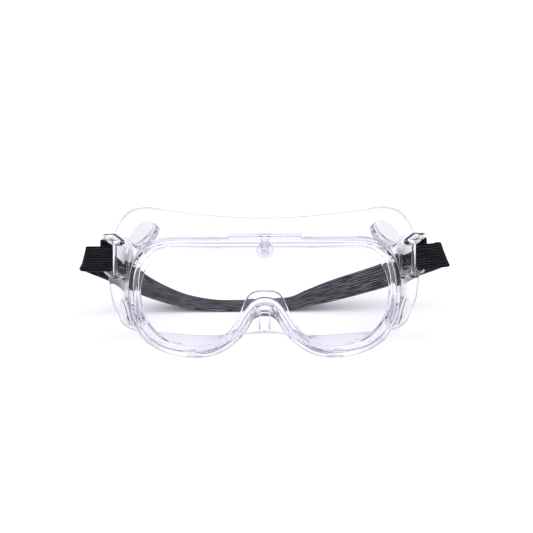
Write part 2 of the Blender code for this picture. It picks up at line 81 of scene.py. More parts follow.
# The lens, its catches and the snap stud
LENS_THICKNESS = 2 * MM
LENS_INSET = 2.9 * MM
CATCH_X = 44.5 * MM
STUD_SHANK = 1.6 * MM
STUD_HOLE = STUD_SHANK + GAP
STUD_BARB = 2.7 * MM
BOSS_Z = RIM_HEIGHT - 6.3 * MM
BOSS_RADIUS = 5.4 * MM

# The vents, in their own millimetres out from the wall
VENT_PAD_RADIUS = 9.1 * MM
VENT_HOLE_RADIUS = 6.2 * MM
VENT_SEAT = 0.7
VENT_CAP_UNDER = VENT_SEAT + 2.1

# The webbing and the lugs that it is threaded through
STRAP_WIDTH = 16 * MM
STRAP_THICKNESS = 1.3 * MM
STRAP_Z = 44.7 * MM
STRAP_FRONT_DEPTH = 45.3 * MM
STRAP_REAR_DEPTH = 78 * MM
BAND_FROM = 48.1 * MM
CREASE_X = 107.2 * MM
CREASE_LEAN = math.radians(15)
CREASE_DROP = 0.9 * MM  # how much lower the webbing lies behind the crease
END_RISE = {1: 0.11, -1: 0.0}  # slope of the right and left end, up and outwards
RIB_PITCH = 1.6 * MM  # coarser than such webbing's likely 1.3 mm, so that the ribs show
WEBBING_LENGTH = 334 * MM
FRONT_BAR = (88.4 * MM, 41 * MM)
REAR_BAR = (94.5 * MM, 50.5 * MM)
BAR_RADIUS = 1.2 * MM

# Half of the goggles, from the top centre round one lobe to the nose: the rim's outside (x, z),
# the aperture (x, z) and the flange's free edge (x, depth, z), each a share of its own size.
STATIONS = (
    (0.000, 1.000, 0.000, 1.000, 0.000, 0.217, 0.965),
    (0.342, 1.000, 0.378, 1.000, 0.298, 0.262, 0.975),
    (0.671, 0.997, 0.700, 0.998, 0.575, 0.398, 0.992),
    (0.797, 0.976, 0.805, 0.979, 0.685, 0.488, 1.000),
    (0.886, 0.926, 0.889, 0.921, 0.773, 0.578, 0.991),
    (0.966, 0.812, 0.962, 0.801, 0.876, 0.729, 0.922),
    (1.000, 0.644, 1.000, 0.628, 0.956, 0.880, 0.747),
    (0.997, 0.456, 0.994, 0.441, 0.994, 1.000, 0.519),
    (0.970, 0.322, 0.957, 0.291, 1.000, 1.000, 0.316),
    (0.899, 0.174, 0.882, 0.156, 0.961, 0.849, 0.114),
    (0.785, 0.070, 0.777, 0.053, 0.873, 0.608, 0.013),
    (0.639, 0.016, 0.672, 0.013, 0.685, 0.428, 0.000),
    (0.513, 0.000, 0.567, 0.000, 0.497, 0.307, 0.000),
    (0.392, 0.016, 0.462, 0.015, 0.343, 0.187, 0.011),
    (0.285, 0.070, 0.364, 0.074, 0.243, 0.111, 0.033),
    (0.173, 0.174, 0.275, 0.184, 0.155, 0.051, 0.053),
    (0.101, 0.295, 0.210, 0.329, 0.095, 0.021, 0.066),
    (0.061, 0.370, 0.148, 0.507, 0.055, 0.006, 0.072),
    (0.033, 0.400, 0.087, 0.574, 0.028, 0.000, 0.076),
    (0.000, 0.408, 0.000, 0.586, 0.000, 0.000, 0.076),
)
UPPER_VENT = (4, 0.34)
LOWER_VENT = (8.5, 0.5)


# ---------------------------------------------------------------- geometry helpers


def place(x, depth, z):
    """A point from its distance right of centre, behind the rim's front face and above the floor."""
    return Vector((x, depth - MID_DEPTH, z))


def between(before, a, b, after, t):
    """Catmull-Rom between a and b, for numbers or vectors."""
    return 0.5 * (
        2 * a
        + (b - before) * t
        + (2 * before - 5 * a + 4 * b - after) * t * t
        + (3 * a - before - 3 * b + after) * t * t * t
    )


def smooth_rows(rows, steps, closed=False):
    """Rows of numbers along a smooth curve through the given ones."""
    made = []
    count = len(rows)
    for i in range(count if closed else count - 1):
        if closed:
            four = [rows[(i + k) % count] for k in (-1, 0, 1, 2)]
        else:
            four = [rows[min(max(i + k, 0), count - 1)] for k in (-1, 0, 1, 2)]
        for step in range(steps):
            made.append([between(*column, step / steps) for column in zip(*four)])
    if not closed:
        made.append(list(rows[-1]))
    return made


def guide(row):
    """A station's rim point, aperture point and flange edge as (x, depth, z) vectors."""
    rim_x, rim_z, open_x, open_z, edge_x, edge_depth, edge_z = row
    rim = Vector((rim_x * RIM_HALF_WIDTH, 0, max(rim_z, 0) * RIM_HEIGHT - FOOT_CUT))
    across = RIM_HALF_WIDTH - LIP_WIDTH
    aperture = Vector((open_x * across, 0, LIP_WIDTH + open_z * (RIM_HEIGHT - 2 * LIP_WIDTH)))
    depth = NOSE_DEPTH + edge_depth * (TEMPLE_DEPTH - NOSE_DEPTH)
    edge = Vector((edge_x * FLANGE_HALF_WIDTH, depth, max(edge_z, 0) * FLANGE_HEIGHT - FOOT_CUT))
    return rim, aperture, edge


LEFT = [(-a, b, -c, d, -e, f, g) for a, b, c, d, e, f, g in STATIONS[-2:0:-1]]
GUIDES = [guide(row) for row in smooth_rows(list(STATIONS) + LEFT, STEPS, closed=True)]
AROUND = len(GUIDES)


def inset(i, distance, depth):
    """A point in from the rim's outside towards the aperture, at this depth."""
    rim, aperture, _ = GUIDES[i % AROUND]
    point = rim + (aperture - rim).normalized() * distance
    return Vector((point.x, depth, point.z))


def widening(share):
    """How far the wall has flared at this share of its depth, with the bend into the flange rounded."""
    soft = BEND_SOFTNESS
    wall = WALL_FLARE * share / FLANGE_FROM
    flange = WALL_FLARE + (1 - WALL_FLARE) * (share - FLANGE_FROM) / (1 - FLANGE_FROM)
    t = min(max((share - FLANGE_FROM + soft) / (2 * soft), 0), 1)
    rise = (1 - WALL_FLARE) / (1 - FLANGE_FROM) - WALL_FLARE / FLANGE_FROM
    if t <= 0:
        return wall
    if t >= 1:
        return flange
    return wall + rise * soft * t * t


def swelling(i, share):
    """How far the wall swells out between the rim and the flange, under the outer side of each lobe."""
    station = min(i % AROUND, AROUND - i % AROUND) / STEPS
    near = math.exp(-(((station - SWELL_STATION) / SWELL_SPREAD) ** 2))
    return SWELL * near * math.sin(math.pi * share**SWELL_EARLY)


def wall_point(i, share):
    """The outside of the wall and flange, from the back of the rim at 0 to the free edge at 1."""
    edge = GUIDES[i % AROUND][2]
    start = inset(i, RIM_STEP, RIM_DEPTH)
    wide = widening(share)
    swell = swelling(i, share)
    x = start.x + (edge.x - start.x) * wide + math.copysign(0.8 * swell, start.x)
    z = start.z + (edge.z - start.z) * wide - 0.7 * swell
    return Vector((x, start.y + (edge.y - start.y) * share, max(z, -FOOT_CUT)))


def wall_normal(i, share):
    """Straight out of the wall."""
    step = 0.04
    along = wall_point(i + 2, share) - wall_point(i - 2, share)
    back = wall_point(i, min(share + step, 1)) - wall_point(i, max(share - step, 0))
    return along.cross(back).normalized()


def wall_inside(i, share, thickness):
    return wall_point(i, share) - wall_normal(i, share) * thickness


def loft(rings, length_closed=False, capped=False):
    """Skins closed rings of points in order."""
    bm = bmesh.new()
    loops = []
    for ring in rings:
        verts = [bm.verts.new(place(*p)) for p in ring]
        loops.append([bm.edges.new((verts[k - 1], verts[k])) for k in range(len(verts))])
    if length_closed:
        loops.append(loops[0])
    for near, far in zip(loops, loops[1:]):
        bmesh.ops.bridge_loops(bm, edges=near + far)
    if capped:
        for loop in (loops[0], loops[-1]):
            bmesh.ops.contextual_create(bm, geom=loop)
    bmesh.ops.recalc_face_normals(bm, faces=bm.faces)
    return bm


def solid(name, bm):
    """An object from a bmesh, triangulated so that the Booleans see flat faces."""
    bmesh.ops.triangulate(bm, faces=bm.faces)
    mesh = bpy.data.meshes.new(name)
    bm.to_mesh(mesh)
    bm.free()
    made = bpy.data.objects.new(name, mesh)
    bpy.context.scene.collection.objects.link(made)
    return made


def spun(name, profile, at=None, sides=64):
    """A solid turned about local Z from (radius, height) points, moved by the matrix at."""
    bm = bmesh.new()
    verts = [bm.verts.new((radius, 0, height)) for radius, height in profile]
    edges = [bm.edges.new(pair) for pair in zip(verts, verts[1:])]
    if profile[0][0] > 0:
        edges.append(bm.edges.new((verts[-1], verts[0])))
    bmesh.ops.spin(
        bm, geom=verts + edges, cent=(0, 0, 0), axis=(0, 0, 1), angle=TURN, steps=sides, use_merge=True
    )
    bmesh.ops.remove_doubles(bm, verts=bm.verts, dist=1e-6)
    bmesh.ops.recalc_face_normals(bm, faces=bm.faces)
    if at is not None:
        bmesh.ops.transform(bm, matrix=at, verts=bm.verts)
    return solid(name, bm)


def rod(name, radius, start, end, sides=32, rounding=0.0):
    """A round bar between two places, with its ends rounded off if wanted."""
    line = end - start
    turn = line.to_track_quat("Z", "Y").to_matrix().to_4x4()
    long = line.length
    if rounding:
        inner = radius - rounding
        profile = [(0, 0), (inner, 0), (radius, rounding), (radius, long - rounding)]
        profile += [(inner, long), (0, long)]
    else:
        profile = [(0, 0), (radius, 0), (radius, long), (0, long)]
    return spun(name, profile, Matrix.Translation(start) @ turn, sides)


def block(name, low, high, bevel=0.0, at=None):
    """A box between two (x, depth, z) corners with its edges rounded."""
    bm = bmesh.new()
    bmesh.ops.create_cube(bm, size=1.0)
    size = [b - a for a, b in zip(low, high)]
    bmesh.ops.scale(bm, vec=size, verts=bm.verts)
    if bevel:
        bmesh.ops.bevel(
            bm, geom=bm.edges[:], offset=bevel, segments=3, profile=0.5, affect="EDGES", material=-1
        )
    if at is None:
        at = Matrix.Translation(place(*[(a + b) / 2 for a, b in zip(low, high)]))
    bmesh.ops.transform(bm, matrix=at, verts=bm.verts)
    return solid(name, bm)


def combine(target, steps):
    """Applies (operation, helper) Booleans one after another and removes the helpers."""
    for operation, other in steps:
        step = target.modifiers.new(other.name, "BOOLEAN")
        step.operation = operation
        step.solver = "MANIFOLD"
        step.object = other
    graph = bpy.context.evaluated_depsgraph_get()
    mesh = bpy.data.meshes.new_from_object(target.evaluated_get(graph))
    target.modifiers.clear()
    old = target.data
    target.data = mesh
    bpy.data.meshes.remove(old)
    for _, other in steps:
        bpy.data.objects.remove(other, do_unlink=True)
    return target


def finish_mesh(obj, material, angle=34):
    """Smooth shading with the real corners left sharp, and the material."""
    obj.data.shade_smooth()
    obj.data.set_sharp_from_angle(angle=math.radians(angle))
    even = obj.modifiers.new("flat faces stay flat", "WEIGHTED_NORMAL")
    even.keep_sharp = True
    obj.data.materials.clear()
    obj.data.materials.append(material)
    return obj


# ---------------------------------------------------------------- materials


def srgb(code):
    """A hex sRGB colour as linear RGBA."""
    made = []
    for k in (1, 3, 5):
        value = int(code[k : k + 2], 16) / 255
        made.append(value / 12.92 if value <= 0.04045 else ((value + 0.055) / 1.055) ** 2.4)
    return (*made, 1.0)


def add(tree, kind, settings=None, **links):
    """A node with its settings, and its inputs given as values or as the sockets that feed them."""
    node = tree.nodes.new(kind)
    for key, value in (settings or {}).items():
        setattr(node, key, value)
    for key, value in links.items():
        socket = node.inputs[int(key[1:])] if key[0] == "_" else node.inputs[key.replace("__", " ")]
        if isinstance(value, bpy.types.NodeSocket):
            tree.links.new(value, socket)
        else:
            socket.default_value = value
    return node


def maths(tree, operation, a, b=0.0):
    return add(tree, "ShaderNodeMath", {"operation": operation}, _0=a, _1=b).outputs[0]


def ramp(tree, factor, low, high, out_low=0.0, out_high=1.0):
    node = add(tree, "ShaderNodeMapRange", {"clamp": True}, Value=factor)
    for name, value in (("From Min", low), ("From Max", high), ("To Min", out_low), ("To Max", out_high)):
        node.inputs[name].default_value = value
    return node.outputs[0]


def mixed(tree, factor, a, b):
    """Two colours mixed by a factor."""
    node = add(tree, "ShaderNodeMix", {"data_type": "RGBA"}, _0=factor)
    for index, value in ((6, a), (7, b)):
        if isinstance(value, bpy.types.NodeSocket):
            tree.links.new(value, node.inputs[index])
        else:
            node.inputs[index].default_value = value
    return node.outputs[2]


def new_material(name):
    made = bpy.data.materials.new(name)
    made.use_nodes = True
    tree = made.node_tree
    tree.nodes.clear()
    return made, tree, add(tree, "ShaderNodeOutputMaterial")


def noise(tree, vector, scale, detail=3.0):
    return add(tree, "ShaderNodeTexNoise", None, Vector=vector, Scale=scale, Detail=detail).outputs[0]


def clear_plastic(name, tint, edge, ripple_scale, ripple, roughness, ior, bead_shade_share=0.0):
    """Clear moulded plastic, greyer where the eye looks along its surface: partly its own tint through
    more of it, partly painted shade for the dark edge lines of refraction and reflection. Rounded
    edges behind the rim get a painted shade line, by the given share. Lamps and bounced light go
    straight through, so its shadow stays pale."""
    made, tree, out = new_material(name)
    where = add(tree, "ShaderNodeTexCoord").outputs["Object"]
    flow = noise(tree, where, ripple_scale, 2.0)
    bump = add(tree, "ShaderNodeBump", None, Strength=ripple, Distance=0.4 * MM, Height=flow)
    haze = ramp(tree, noise(tree, where, 60.0), 0.35, 0.7, roughness, roughness + 0.03)
    glass = add(tree, "ShaderNodeBsdfPrincipled", None, Roughness=haze, Normal=bump.outputs[0])
    slant = add(tree, "ShaderNodeLayerWeight", None, Blend=0.5).outputs["Facing"]
    # Painted shade: greyer towards grazing edges, partly the plastic's own tint through more of it, partly
    # the dark edge lines of refraction and reflection.
    grazing_shade_tint = mixed(tree, ramp(tree, slant, 0.55, 0.97), tint, edge)
    # Painted shade line on the rounded edges behind the rim, where pointiness is high.
    sharp = add(tree, "ShaderNodeNewGeometry").outputs["Pointiness"]
    depth = add(tree, "ShaderNodeSeparateXYZ", None, Vector=where).outputs[1]
    behind_rim = ramp(tree, depth, -30 * MM, -24 * MM, 0.0, bead_shade_share)
    bead = maths(tree, "MULTIPLY", ramp(tree, sharp, 0.52, 0.58), behind_rim)
    rounded = mixed(tree, bead, grazing_shade_tint, edge)
    tree.links.new(rounded, glass.inputs["Base Color"])
    glass.inputs["Transmission Weight"].default_value = 1.0
    glass.inputs["IOR"].default_value = ior
    path = add(tree, "ShaderNodeLightPath")
    passing = maths(tree, "MAXIMUM", path.outputs["Is Shadow Ray"], path.outputs["Is Diffuse Ray"])
    through = add(tree, "ShaderNodeBsdfTransparent", None, Color=(0.985, 0.983, 0.992, 1))
    surface = add(tree, "ShaderNodeMixShader", None, _0=passing, _1=glass.outputs[0], _2=through.outputs[0])
    tree.links.new(surface.outputs[0], out.inputs["Surface"])
    return made


def milky_polyethylene():
    """Injection moulded polyethylene: translucent white, waxy, with a faint fine grain."""
    made, tree, out = new_material("white_polyethylene_moulded")
    where = add(tree, "ShaderNodeTexCoord").outputs["Object"]
    cloud = noise(tree, where, 220.0)
    colour = mixed(tree, cloud, srgb("#DDDCE0"), srgb("#E9E8EC"))
    grain = noise(tree, where, 2600.0)
    bump = add(tree, "ShaderNodeBump", None, Strength=0.12, Distance=0.05 * MM, Height=grain)
    body = add(tree, "ShaderNodeBsdfPrincipled", None, Normal=bump.outputs[0])
    tree.links.new(colour, body.inputs["Base Color"])
    tree.links.new(ramp(tree, cloud, 0.3, 0.7, 0.38, 0.52), body.inputs["Roughness"])
    body.inputs["Subsurface Weight"].default_value = 0.35
    body.inputs["Subsurface Radius"].default_value = (0.8, 0.8, 0.9)
    body.inputs["Subsurface Scale"].default_value = 1.5 * MM
    tree.links.new(body.outputs[0], out.inputs["Surface"])
    return made


def elastic_webbing():
    """Knitted elastic: ten lengthwise ribs over rubber cores with fine picks across, a heathered near black
    as at its doubled ends, painted paler towards the middle as painted light for the light from above on
    the band behind the goggles, and painted darker in the grooves between the ribs as painted shade."""
    made, tree, out = new_material("black_elastic_webbing")
    where = add(tree, "ShaderNodeUVMap").outputs[0]
    parts = add(tree, "ShaderNodeSeparateXYZ", None, Vector=where)
    along, across = parts.outputs[0], parts.outputs[1]
    rib = maths(tree, "SINE", maths(tree, "MULTIPLY", across, TURN / RIB_PITCH))
    rib_height = ramp(tree, rib, -1.0, 1.0)
    # The heather's flecks are about 9 by 1.1 mm, far coarser than the real yarn's, so that they show.
    streaks = add(tree, "ShaderNodeMapping", None, Vector=where, Scale=(110.0, 900.0, 1.0)).outputs[0]
    heather = noise(tree, streaks, 1.0, 5.0)
    row = maths(tree, "FLOOR", maths(tree, "MULTIPLY", across, 1 / RIB_PITCH))
    shifted = maths(tree, "ADD", along, maths(tree, "MULTIPLY", row, 0.37 * MM))
    pick = maths(tree, "SINE", maths(tree, "MULTIPLY", shifted, TURN / (0.9 * MM)))
    pick_height = ramp(tree, pick, -1.0, 1.0)
    height = maths(tree, "ADD", rib_height, maths(tree, "MULTIPLY", pick_height, 0.12))
    fluff = add(tree, "ShaderNodeMapping", None, Vector=where, Scale=(700.0, 2600.0, 1.0)).outputs[0]
    fibre = noise(tree, fluff, 1.0, 4.0)
    height = maths(tree, "ADD", height, maths(tree, "MULTIPLY", fibre, 0.35))
    bump = add(tree, "ShaderNodeBump", None, Strength=0.7, Distance=0.22 * MM, Height=height)
    patches = noise(tree, where, 90.0, 3.0)
    # Painted light: towards the middle, behind the goggles, the band is painted paler for the light from
    # above that falls on it there.
    half = WEBBING_LENGTH / 2
    from_middle = maths(tree, "ABSOLUTE", maths(tree, "SUBTRACT", along, half))
    painted_light_middle = ramp(tree, from_middle, half - 75 * MM, half - 50 * MM, 1.0, 0.0)
    pale = mixed(tree, painted_light_middle, srgb("#343237"), srgb("#7B7881"))
    yarn = mixed(tree, ramp(tree, heather, 0.36, 0.66), srgb("#111013"), pale)
    flecked = mixed(tree, ramp(tree, fibre, 0.6, 0.7, 0.0, 0.6), yarn, srgb("#716E76"))
    worn = mixed(tree, ramp(tree, patches, 0.4, 0.7, 0.0, 0.3), flecked, srgb("#2B292F"))
    # Painted shade: the grooves between the ribs are painted near black.
    deep = mixed(tree, ramp(tree, rib_height, 0.1, 0.7), srgb("#030304"), worn)
    cloth = add(tree, "ShaderNodeBsdfPrincipled", None, Normal=bump.outputs[0])
    tree.links.new(deep, cloth.inputs["Base Color"])
    tree.links.new(ramp(tree, fibre, 0.3, 0.7, 0.78, 0.95), cloth.inputs["Roughness"])
    cloth.inputs["Sheen Weight"].default_value = 0.04
    cloth.inputs["Sheen Roughness"].default_value = 0.4
    cloth.inputs["Specular IOR Level"].default_value = 0.1
    tree.links.new(cloth.outputs[0], out.inputs["Surface"])
    return made


def white_table():
    """Matt white laminate, with the faintest unevenness."""
    made, tree, out = new_material("matt_white_table")
    where = add(tree, "ShaderNodeTexCoord").outputs["Object"]
    body = add(tree, "ShaderNodeBsdfDiffuse", None)
    shade = mixed(tree, noise(tree, where, 3.0), srgb("#F7F7F8"), srgb("#FAFAFB"))
    tree.links.new(shade, body.inputs["Color"])
    tree.links.new(body.outputs[0], out.inputs["Surface"])
    return made


# ---------------------------------------------------------------- the clear frame


def frame_section(i):
    """One closed section: stepped front of the rim, wall, flange with its bead, and back inside."""
    lens_front = LIP_THICKNESS
    lens_back = LIP_THICKNESS + LENS_THICKNESS + 2 * GAP
    groove = LENS_INSET - GAP
    lip = (GUIDES[i][1] - GUIDES[i][0]).length
    front = (
        (0.0, 6.3), (0.0, 1.0), (0.12, 0.45), (0.45, 0.12), (1.0, 0.0), (2.4, 0.0),
        (2.7, 0.12), (2.9, 0.5), (3.2, 0.5), (3.4, 0.16), (3.7, 0.08), (4.7, 0.08),
        (5.0, 0.2), (5.25, 0.62), (5.6, 0.7),
    )  # fmt: skip
    section = [inset(i, distance * MM, depth * MM) for distance, depth in reversed(front)]
    section += [inset(i, 0.3 * MM, 6.8 * MM)]
    shares = [k / 16 for k in range(16)] + [0.97]
    section += [wall_point(i, s) for s in shares]
    tip = wall_point(i, 1)
    out = wall_normal(i, 1)
    section += [tip - out * (WALL * 0.15), tip - out * (WALL * 0.5), tip - out * (WALL * 0.85)]
    section += [wall_inside(i, s, WALL) for s in reversed(shares)]
    section += [
        inset(i, BACK_LIP_INSET - 0.4 * MM, RIM_DEPTH),
        inset(i, BACK_LIP_INSET, RIM_DEPTH - 0.4 * MM),
        inset(i, BACK_LIP_INSET, lens_back),
        inset(i, groove, lens_back),
        inset(i, groove, lens_front),
        inset(i, lip, lens_front),
        inset(i, lip, 1.3 * MM),
        inset(i, lip - 0.25 * MM, 0.85 * MM),
        inset(i, lip - 0.7 * MM, 0.7 * MM),
    ]
    return section


def arm(name, side, low, high, bevel):
    """A flat arm from the wall out round both bars."""
    front_x, front_depth = FRONT_BAR
    rear_x, rear_depth = REAR_BAR
    root = front_x - 8 * MM
    cover = BAR_RADIUS + 0.6 * MM
    corners = (
        (root, front_depth - cover),
        (front_x + cover * 0.2, front_depth - cover),
        (rear_x + cover * 0.3, rear_depth - cover * 1.2),
        (rear_x + cover * 0.55, rear_depth),
        (rear_x - cover * 0.2, rear_depth + cover),
        (root, rear_depth + cover),
    )
    outline = smooth_rows(list(corners), 6, closed=True)
    bm = loft([[(side * x, depth, z) for x, depth in outline] for z in (low, high)], capped=True)
    bmesh.ops.dissolve_limit(bm, angle_limit=math.radians(1), verts=bm.verts, edges=bm.edges)
    rims = [edge for edge in bm.edges if abs(edge.verts[0].co.z - edge.verts[1].co.z) < 1e-6]
    bmesh.ops.bevel(bm, geom=rims, offset=bevel, segments=4, profile=0.5, affect="EDGES", material=-1)
    return solid(name, bm)


def lug_pieces(side):
    """The strap lug's two arms and two bars."""
    low = STRAP_Z - STRAP_WIDTH / 2 - 0.9 * MM
    high = STRAP_Z + STRAP_WIDTH / 2 + 2.2 * MM
    thick = 1.8 * MM
    pieces = [
        arm("lower_arm", side, low - thick, low, 0.5 * MM),
        arm("upper_arm", side, high, high + 2 * thick, 1.7 * MM),
    ]
    for x, depth in (FRONT_BAR, REAR_BAR):
        start = place(side * x, depth, low - thick / 2)
        end = place(side * x, depth, high + thick)
        pieces.append(rod("bar", BAR_RADIUS, start, end))
    return pieces


def cavity():
    """The space inside the wall, which trims what reaches through it."""
    shares = [k / 16 for k in range(17)]
    rings = [[wall_inside(i, s, WALL * 0.75) for i in range(AROUND)] for s in shares]
    rings[0] = [Vector((p.x, RIM_DEPTH, p.z)) for p in rings[0]]
    rings.append([Vector((p.x, TEMPLE_DEPTH + 10 * MM, p.z)) for p in rings[-1]])
    return solid("cavity", loft(rings, capped=True))


def vent_frames():
    """(name, matrix) of each vent: its centre on the wall's outside, with Z straight out."""
    found = []
    for height, (station, share) in (("upper", UPPER_VENT), ("lower", LOWER_VENT)):
        i = round(station * STEPS)
        centre = wall_point(i, share)
        out = wall_normal(i, share)
        for word, side in (("right", 1), ("left", -1)):
            axis = Vector((side * out.x, out.y, out.z))
            turn = axis.to_track_quat("Z", "Y").to_matrix().to_4x4()
            at = Matrix.Translation(place(side * centre.x, centre.y, centre.z)) @ turn
            found.append((f"{height}_{word}", at))
    return found


def tick(x, z, degrees, long, wide=0.7 * MM, deep=0.55 * MM):
    """A short mark pressed into the front of the rim."""
    at = Matrix.Translation(place(x, 0, z)) @ Matrix.Rotation(math.radians(degrees), 4, "Y")
    return block("tick", (0, 0, 0), (wide, 2 * deep, long), 0.15 * MM, at)


def add_trim(piece, hollow):
    """Cuts what reaches through the wall off a piece."""
    step = piece.modifiers.new("trim", "BOOLEAN")
    step.operation = "DIFFERENCE"
    step.solver = "MANIFOLD"
    step.object = hollow


def frame_additions(vents):
    """What is moulded on to the wall and rim: vent pads, the ledge, the stud's boss and the nose ridges."""
    made = []
    for _, at in vents:
        inner = at @ Vector((0, 0, -3.6 * MM))
        outer = at @ Vector((0, 0, 0.4 * MM))
        made.append(rod("pad", VENT_PAD_RADIUS, inner, outer, 64, 0.25 * MM))
    low = (-21 * MM, 2.1 * MM, RIM_HEIGHT - 0.9 * MM)
    high = (21 * MM, 7.7 * MM, RIM_HEIGHT + 0.9 * MM)
    made.append(block("ledge", low, high, 0.3 * MM))
    made.append(rod("boss", BOSS_RADIUS, place(0, 0.1 * MM, BOSS_Z), place(0, 1.8 * MM, BOSS_Z), 64))
    for side in (1, -1):
        top = place(side * 2.9 * MM, 6.5 * MM, 28.3 * MM)
        foot = place(side * 2.9 * MM, 21.5 * MM, 9.6 * MM)
        made.append(rod("nose_ridge", 0.55 * MM, top, foot, 16))
    return made


def frame_cuts(vents):
    """Holes for the vents and the stud, pockets for the lens's tongues, and marks in the rim's front."""
    made = []
    for _, at in vents:
        inner = at @ Vector((0, 0, -7.6 * MM))
        outer = at @ Vector((0, 0, 4.4 * MM))
        made.append(rod("hole", VENT_HOLE_RADIUS, inner, outer, 64))
    behind = place(0, 11 * MM, BOSS_Z)
    made.append(rod("stud_hole", STUD_HOLE, place(0, -4 * MM, BOSS_Z), behind))
    made.append(rod("barb_room", STUD_BARB + 3 * GAP, place(0, 2.4 * MM, BOSS_Z), behind))
    for side in (1, -1):
        low = (side * CATCH_X - 4.2 * MM, -1 * MM, 3.5 * MM)
        high = (side * CATCH_X + 4.2 * MM, 2.1 * MM, 5.1 * MM)
        made.append(block("catch", low, high))
        made.append(tick(side * 54 * MM, 71 * MM, 0, 3.2 * MM))
        made.append(tick(side * 72.3 * MM, 60 * MM, side * 52, 4 * MM))
        made.append(tick(side * 62.5 * MM, 11 * MM, side * -38, 4 * MM))
    made.append(block("under_floor", (-REACH, -REACH, -10 * MM), (REACH, REACH, 0)))
    return made


def build_frame(vents, pvc):
    sections = [frame_section(i) for i in range(AROUND)]
    body = solid("clear_frame", loft(sections, length_closed=True))
    hollow = cavity()
    lugs = lug_pieces(1) + lug_pieces(-1)
    for piece in lugs:
        add_trim(piece, hollow)
    steps = [("UNION", piece) for piece in lugs + frame_additions(vents)]
    steps += [("DIFFERENCE", piece) for piece in frame_cuts(vents)]
    combine(body, steps)
    bpy.data.objects.remove(hollow, do_unlink=True)
    finish_mesh(body, pvc)
    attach(body, "frame_body")
    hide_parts("frame")


def build_lens(polycarbonate):
    front = LIP_THICKNESS + GAP
    back = front + LENS_THICKNESS
    bevel = 0.25 * MM
    rings = []
    for extra, depth in ((bevel, front), (0, front + bevel), (0, back - bevel), (bevel, back)):
        rings.append([inset(i, LENS_INSET + extra, depth) for i in range(AROUND)])
    lens = solid("clear_lens", loft(rings, capped=True))
    steps = []
    for side in (1, -1):
        low = (side * CATCH_X - 3.6 * MM, 0.6 * MM, 3.8 * MM)
        high = (side * CATCH_X + 3.6 * MM, front + 0.9 * MM, 4.8 * MM)
        steps.append(("UNION", block("tongue", low, high, 0.2 * MM)))
    steps.append(("DIFFERENCE", rod("hole", STUD_HOLE, place(0, 0, BOSS_Z), place(0, 8 * MM, BOSS_Z))))
    combine(lens, steps)
    finish_mesh(lens, polycarbonate)
    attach(lens, "frame_body")
    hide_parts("lens")


def build_stud(plastic):
    """The snap stud: a dished head with a raised ring and core, a shank and a barb behind the lens."""
    behind = LIP_THICKNESS + LENS_THICKNESS + 3 * GAP
    mm = ((0, -1.9), (0.9, -1.85), (1.3, -1.6), (1.5, -1.35), (2.3, -1.35), (2.55, -1.7),
          (2.9, -1.88), (4.2, -1.88), (4.65, -1.65), (4.9, -1.25), (4.9, -0.3), (1.6, -0.3))  # fmt: skip
    profile = [(radius * MM, depth * MM) for radius, depth in mm]
    tip = behind + 1.2 * MM
    profile += [(STUD_SHANK, behind), (STUD_BARB, behind), (STUD_SHANK, tip), (0, tip)]
    at = Matrix.Translation(place(0, 0, BOSS_Z)) @ Matrix.Rotation(-math.pi / 2, 4, "X")
    stud = spun("snap_stud", profile, at)
    finish_mesh(stud, plastic)
    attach(stud, "frame_body")
    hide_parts("lens_stud")


def vent_socket(name, at):
    """The housing: a flange on the wall, a neck through it and a barb inside."""
    seat = VENT_SEAT
    mm = (
        (4.5, seat + 1.2), (7.9, seat + 1.2), (8.3, seat + 1.0), (8.5, seat + 0.7), (8.5, seat),
        (5.9, seat), (5.9, -3.9), (6.8, -3.9), (5.9, -5.0), (4.5, -5.0),
    )  # fmt: skip
    return spun(f"vent_socket_{name}", [(radius * MM, height * MM) for radius, height in mm], at)


def vent_shield(name, at):
    """The cap: a shallow dome over the housing, on a stem that two crossed slots let the air through."""
    under = VENT_CAP_UNDER
    foot = -3.6
    mm = (
        (0, under + 1.6), (2.5, under + 1.6), (3.0, under + 1.45), (5.2, under + 1.35),
        (7.2, under + 1.05), (8.2, under + 0.75), (8.5, under + 0.4), (8.5, under - 0.5),
        (8.1, under - 0.55), (7.9, under), (4.2, under), (4.2, foot), (3.1, foot), (3.1, under), (0, under),
    )  # fmt: skip
    cap = spun(f"vent_shield_{name}", [(radius * MM, height * MM) for radius, height in mm], at)
    centre = Matrix.Translation((0, 0, (under - 2.4) / 2 * MM - 0.05 * MM))
    size = (3 * MM, 17 * MM, (under + 2.4) * MM)
    cuts = []
    for number in range(2):
        turn = Matrix.Rotation(number * math.pi / 2, 4, "Z")
        cuts.append(("DIFFERENCE", block("slot", (0, 0, 0), size, 0.0, at @ turn @ centre)))
    return combine(cap, cuts)


def build_vents(vents, white):
    for name, at in vents:
        made = (
            (vent_socket(name, at), f"vent_housing_{name}"),
            (vent_shield(name, at), f"vent_cap_{name}"),
        )
        for piece, node in made:
            finish_mesh(piece, white)
            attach(piece, "frame_body")
            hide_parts(node)


# ---------------------------------------------------------------- the headband

